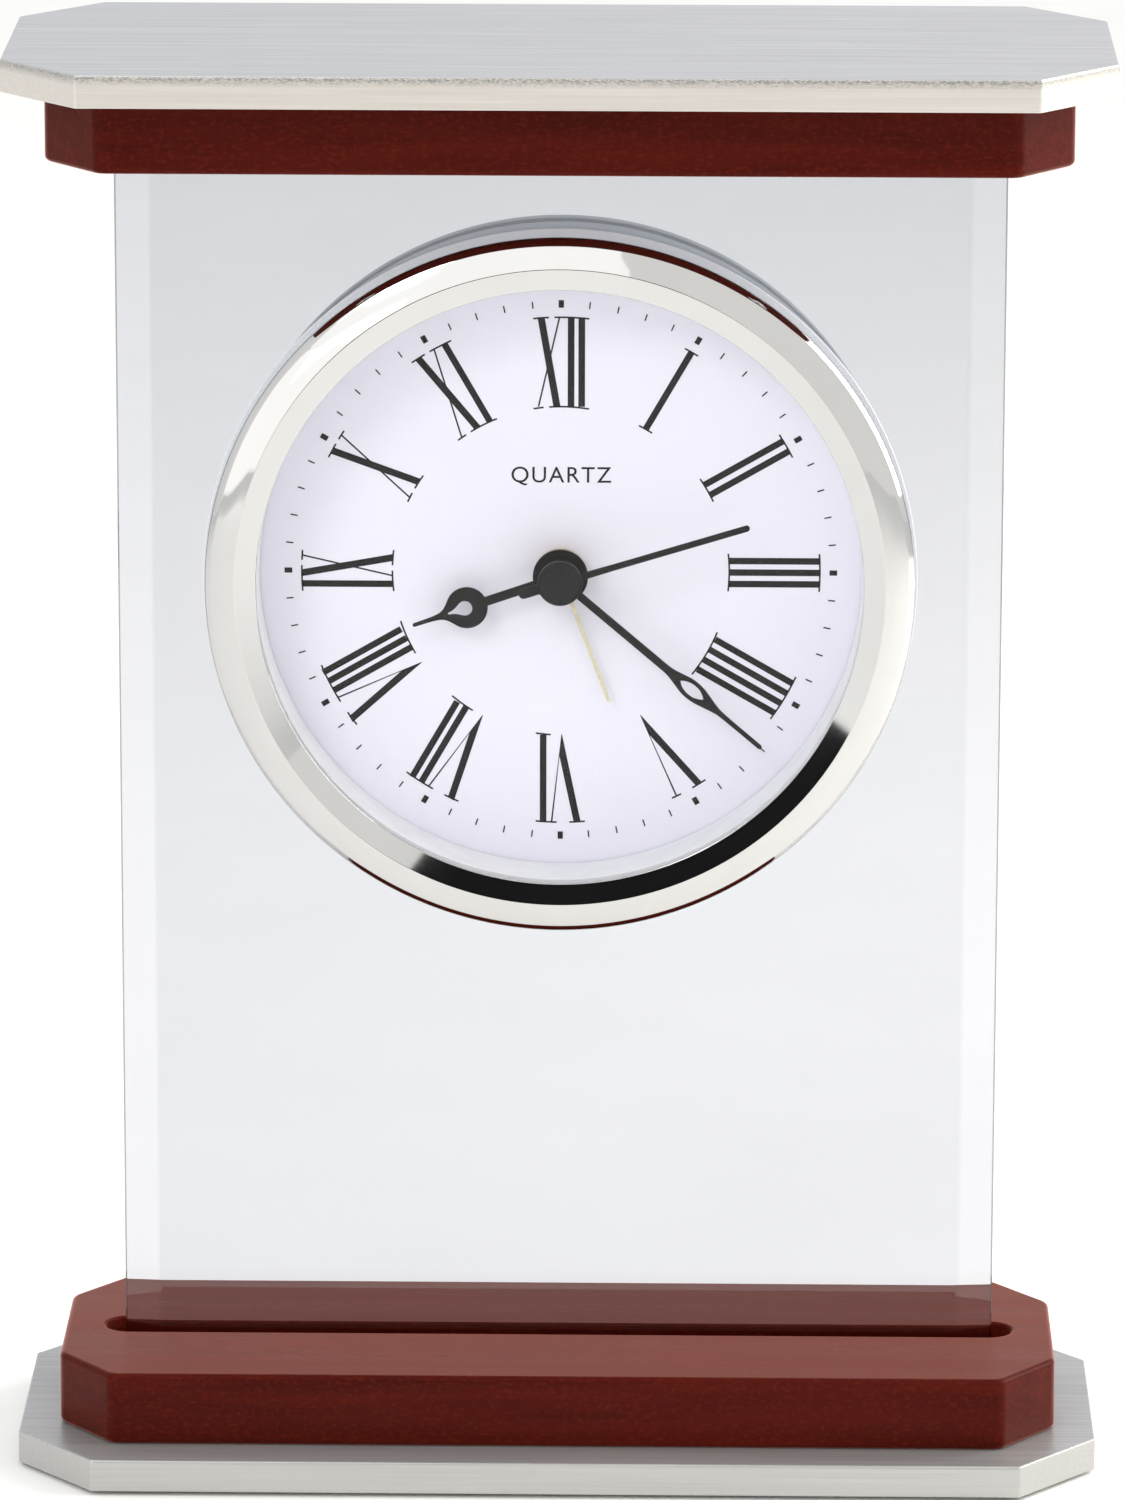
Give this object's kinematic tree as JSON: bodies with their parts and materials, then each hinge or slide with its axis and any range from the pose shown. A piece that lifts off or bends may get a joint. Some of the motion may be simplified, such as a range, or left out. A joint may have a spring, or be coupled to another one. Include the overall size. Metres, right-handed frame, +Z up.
{
  "type": "carriage clock",
  "caption": "Glass-fronted desk clock: a beveled glass panel between wood blocks and metal plates, with a round quartz alarm insert and a white roman dial.",
  "frame": {"origin": "middle of the footprint, on the surface that the clock stands on", "axes": "+Z up, +X to the viewer's right, the dial faces -Y"},
  "size_m": [0.1588, 0.0636, 0.2102],
  "materials": {
    "brushed_plate": "brushed, clear anodised",
    "rosewood": "satin lacquered red-brown wood",
    "clear_glass": "polished clear",
    "polished_bezel": "polished",
    "light_ring": "satin light grey",
    "white_foam": "soft white gasket",
    "satin_grey": "satin silver grey",
    "dial_card": "matt white printed card",
    "black_paint": "matt black",
    "champagne_paint": "pale champagne",
    "black_plastic": "moulded matt black",
    "white_plastic": "moulded off-white",
    "plated_steel": "zinc plated",
    "brass": "turned",
    "copper_wire": "enamelled wire",
    "board_green": "solder mask",
    "cell_wrap": "plain dark cell wrap",
    "foot_rubber": "matt"
  },
  "bodies": {
    "root": {"base_plate": "brushed_plate", "base_wood": "rosewood", "glass_panel": "clear_glass", "top_wood": "rosewood", "top_plate": "brushed_plate", "base_screw_1": "plated_steel", "base_screw_2": "plated_steel", "base_screw_3": "plated_steel", "base_screw_4": "plated_steel", "top_screw_1": "plated_steel", "top_screw_2": "plated_steel", "top_screw_3": "plated_steel", "top_screw_4": "plated_steel", "foot_pad_1": "foot_rubber", "foot_pad_2": "foot_rubber", "foot_pad_3": "foot_rubber", "foot_pad_4": "foot_rubber", "bezel": "polished_bezel", "lens": "clear_glass", "rehaut_ring": "light_ring", "rear_gasket": "white_foam", "rear_cup": "satin_grey", "back_cover": "satin_grey", "back_screw_1": "plated_steel", "back_screw_2": "plated_steel", "back_screw_3": "plated_steel", "battery": "cell_wrap", "contact_plus": "plated_steel", "contact_minus": "plated_steel", "dial": "dial_card", "main_plate": "white_plastic", "bridge_plate": "white_plastic", "bridge_screw_1": "plated_steel", "bridge_screw_2": "plated_steel", "bridge_screw_3": "plated_steel", "stator": "plated_steel", "coil_core": "plated_steel", "coil": "copper_wire", "circuit_board": "board_green", "sounder": "brass"},
    "second_group": {"second_hand": "black_paint", "second_wheel": "white_plastic"},
    "third_group": {"third_wheel": "white_plastic"},
    "minute_group": {"minute_hand": "black_paint", "centre_wheel": "brass"},
    "motion_group": {"motion_wheel": "white_plastic"},
    "hour_group": {"hour_hand": "black_paint", "hour_wheel": "brass"},
    "time_knob_group": {"time_knob": "black_plastic", "time_stem": "white_plastic"},
    "intermediate_group": {"intermediate_wheel": "white_plastic"},
    "rotor_group": {"rotor": "black_plastic"},
    "alarm_knob_group": {"alarm_knob": "black_plastic", "alarm_stem": "white_plastic"},
    "alarm_idler_group": {"alarm_idler": "white_plastic"},
    "alarm_hand_group": {"alarm_hand": "champagne_paint", "alarm_wheel": "brass"},
    "alarm_switch_group": {"alarm_switch": "black_plastic"},
    "battery_door_group": {"battery_door": "satin_grey"}
  },
  "joints": [
    {"name": "second_turn", "type": "hinge", "parent": "root", "child": "second_group", "pos_m": [0, 0, 0.1301], "axis": [0, 1, 0], "continuous": true},
    {"name": "third_turn", "type": "hinge", "parent": "root", "child": "third_group", "pos_m": [0.00874, 0, 0.14052], "axis": [0, 1, 0], "continuous": true},
    {"name": "minute_turn", "type": "hinge", "parent": "root", "child": "minute_group", "pos_m": [0, 0, 0.1301], "axis": [0, 1, 0], "continuous": true},
    {"name": "motion_turn", "type": "hinge", "parent": "root", "child": "motion_group", "pos_m": [0.01379, 0, 0.12767], "axis": [0, 1, 0], "continuous": true},
    {"name": "hour_turn", "type": "hinge", "parent": "root", "child": "hour_group", "pos_m": [0, 0, 0.1301], "axis": [0, 1, 0], "continuous": true},
    {"name": "time_knob_turn", "type": "hinge", "parent": "root", "child": "time_knob_group", "pos_m": [0.02694, 0, 0.13246], "axis": [0, 1, 0], "continuous": true},
    {"name": "intermediate_turn", "type": "hinge", "parent": "root", "child": "intermediate_group", "pos_m": [-0.01072, 0, 0.1391], "axis": [0, 1, 0], "continuous": true},
    {"name": "rotor_turn", "type": "hinge", "parent": "root", "child": "rotor_group", "pos_m": [-0.018, 0, 0.1433], "axis": [0, 1, 0], "continuous": true},
    {"name": "alarm_knob_turn", "type": "hinge", "parent": "root", "child": "alarm_knob_group", "pos_m": [-0.0269, 0, 0.13245], "axis": [0, 1, 0], "continuous": true},
    {"name": "alarm_idler_turn", "type": "hinge", "parent": "root", "child": "alarm_idler_group", "pos_m": [-0.01793, 0, 0.13167], "axis": [0, 1, 0], "continuous": true},
    {"name": "alarm_hand_turn", "type": "hinge", "parent": "root", "child": "alarm_hand_group", "pos_m": [0, 0, 0.1301], "axis": [0, 1, 0], "continuous": true},
    {"name": "alarm_switch_slide", "type": "slide", "parent": "root", "child": "alarm_switch_group", "axis": [1, 0, 0], "range_m": [0, 0.0035]},
    {"name": "battery_door_slide", "type": "slide", "parent": "root", "child": "battery_door_group", "axis": [0, 0, -1], "range_m": [0, 0.024]}
  ],
  "couplings": [
    {"joint": "third_turn", "follows": "second_turn", "ratio": -0.125},
    {"joint": "minute_turn", "follows": "second_turn", "ratio": 0.016667},
    {"joint": "motion_turn", "follows": "second_turn", "ratio": -0.0055556},
    {"joint": "hour_turn", "follows": "second_turn", "ratio": 0.0013889},
    {"joint": "time_knob_turn", "follows": "second_turn", "ratio": 0.016667},
    {"joint": "intermediate_turn", "follows": "second_turn", "ratio": -6},
    {"joint": "rotor_turn", "follows": "second_turn", "ratio": 30},
    {"joint": "alarm_idler_turn", "follows": "alarm_knob_turn", "ratio": -0.5},
    {"joint": "alarm_hand_turn", "follows": "alarm_knob_turn", "ratio": 0.25}
  ]
}
